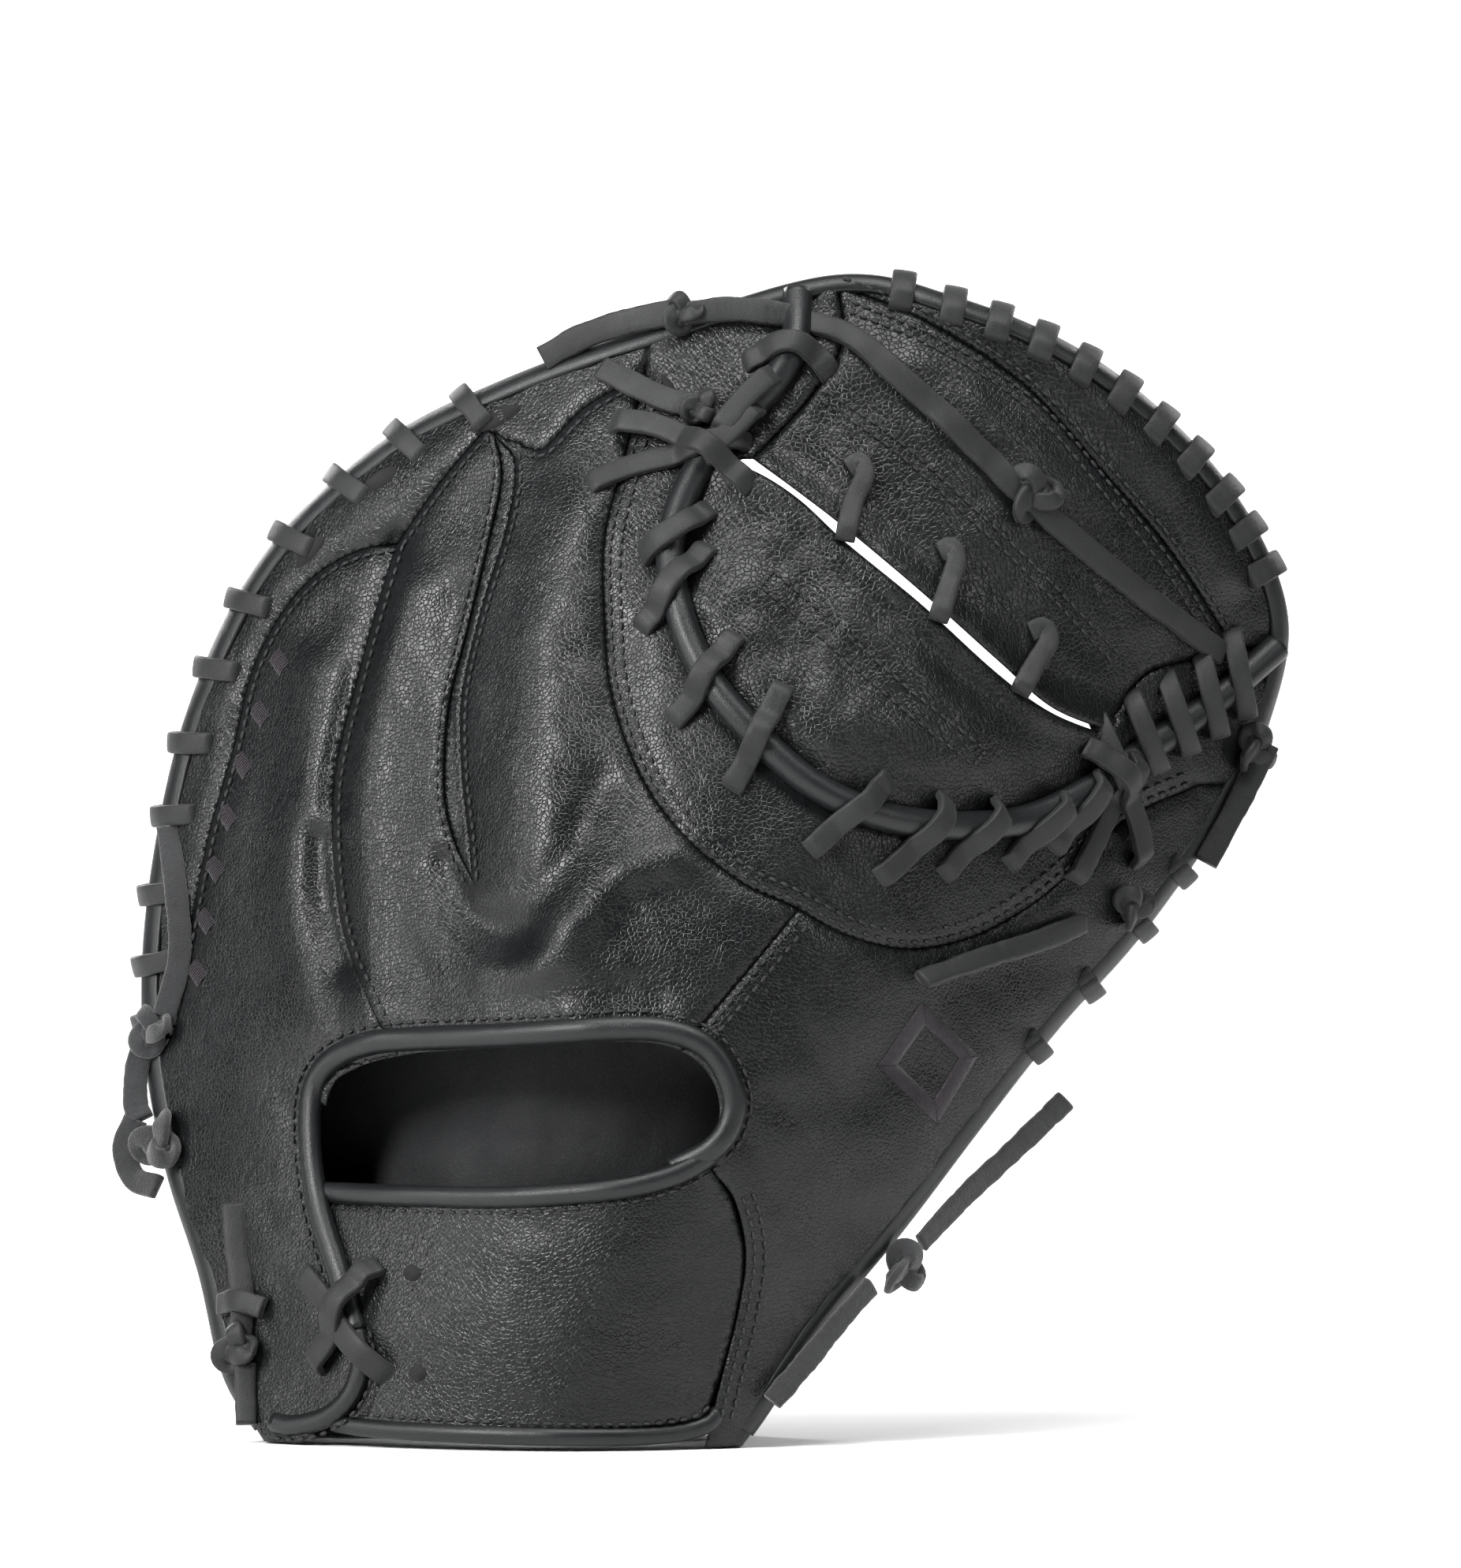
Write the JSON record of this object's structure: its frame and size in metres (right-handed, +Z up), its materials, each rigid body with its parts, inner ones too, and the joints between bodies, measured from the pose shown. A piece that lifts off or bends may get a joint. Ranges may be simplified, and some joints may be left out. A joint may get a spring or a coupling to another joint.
{
  "type": "catcher's mitt",
  "caption": "Catcher's mitt for the left hand: laced leather with a padded palm and heel, a curved pocket, a laced two-panel web and an adjustable wrist strap.",
  "frame": {"origin": "on the ground, under the middle of the mitt, which stands on its heel", "axes": "+Z up towards the fingertips, +X towards the thumb side, +Y from the back of the hand towards the palm, where the pocket opens"},
  "size_m": [0.3202, 0.1537, 0.3147],
  "materials": {
    "back_leather": "pebbled, satin",
    "palm_leather": "pebbled, satin",
    "binding_leather": "smooth, satin",
    "lace_leather": "rawhide lace, matte with a rough suede edge",
    "lining_leather": "soft, matte",
    "felt_padding": "pressed felt",
    "embroidery_thread": "satin stitch"
  },
  "bodies": {
    "fingers": {"rim_band": "back_leather", "pinky_panel": "back_leather", "middle_finger_panel": "back_leather", "index_panel": "back_leather", "finger_seam_strip": "binding_leather", "crescent_finger_side": "back_leather", "hinge_gusset": "back_leather", "hand_opening_binding": "binding_leather", "flap_binding": "binding_leather", "back_lining": "lining_leather", "palm_leather_finger_side": "palm_leather", "palm_leather_break": "palm_leather", "finger_rim_roll": "felt_padding", "palm_pad": "felt_padding", "palm_lining": "lining_leather", "heel_pad": "felt_padding", "crotch_welt_finger_side": "binding_leather", "web_lower_panel_finger_side": "back_leather", "web_upper_panel_finger_side": "back_leather", "web_outer_band_finger_side": "back_leather", "rim_lace_fingers": "lace_leather", "rim_lace_web_finger_side": "lace_leather", "rim_binding_finger_side": "binding_leather", "welt_lace_finger_side": "lace_leather", "upper_x_lace": "lace_leather", "wrist_x_lace": "lace_leather", "web_strand_finger_side": "lace_leather", "web_ties_finger_side": "lace_leather", "upper_left_tie": "lace_leather", "lower_left_knot": "lace_leather", "left_rim_knot": "lace_leather"},
    "thumb": {"crescent_thumb_side": "back_leather", "thumb_panel": "back_leather", "thumb_lining": "lining_leather", "palm_leather_thumb_side": "palm_leather", "thumb_rim_roll": "felt_padding", "thumb_pad": "felt_padding", "crotch_welt_thumb_side": "binding_leather", "web_lower_panel_thumb_side": "back_leather", "web_upper_panel_thumb_side": "back_leather", "web_outer_band_thumb_side": "back_leather", "rim_lace_web_thumb_side": "lace_leather", "rim_lace_thumb": "lace_leather", "rim_binding_thumb_side": "binding_leather", "welt_lace_thumb_side": "lace_leather", "lower_x_lace": "lace_leather", "web_strand_thumb_side": "lace_leather", "web_tie_thumb_side": "lace_leather", "right_tip_knot": "lace_leather", "lower_x_knot": "lace_leather", "heel_lace_knot": "lace_leather", "long_tail": "lace_leather", "heel_tail_up": "lace_leather", "heel_tail_down": "lace_leather", "thumb_emblem": "embroidery_thread"},
    "strap": {"wrist_strap": "back_leather", "wrist_strap_lining": "lining_leather", "strap_top_binding": "binding_leather", "strap_foot_binding": "binding_leather"}
  },
  "joints": [
    {"name": "thumb_fold", "type": "hinge", "parent": "fingers", "child": "thumb", "pos_m": [0.003, -0.0655, 0.004], "axis": [0.2645, 0.2425, 0.9334], "range_deg": [0, 25], "stiffness_Nm_per_rad": 5, "deforming": ["palm_leather_break"]},
    {"name": "strap_tighten", "type": "hinge", "parent": "fingers", "child": "strap", "pos_m": [0.0115, -0.06, 0.035], "axis": [0, 0, -1], "range_deg": [0, 4.5], "stiffness_Nm_per_rad": 1, "deforming": ["wrist_x_lace"]}
  ]
}
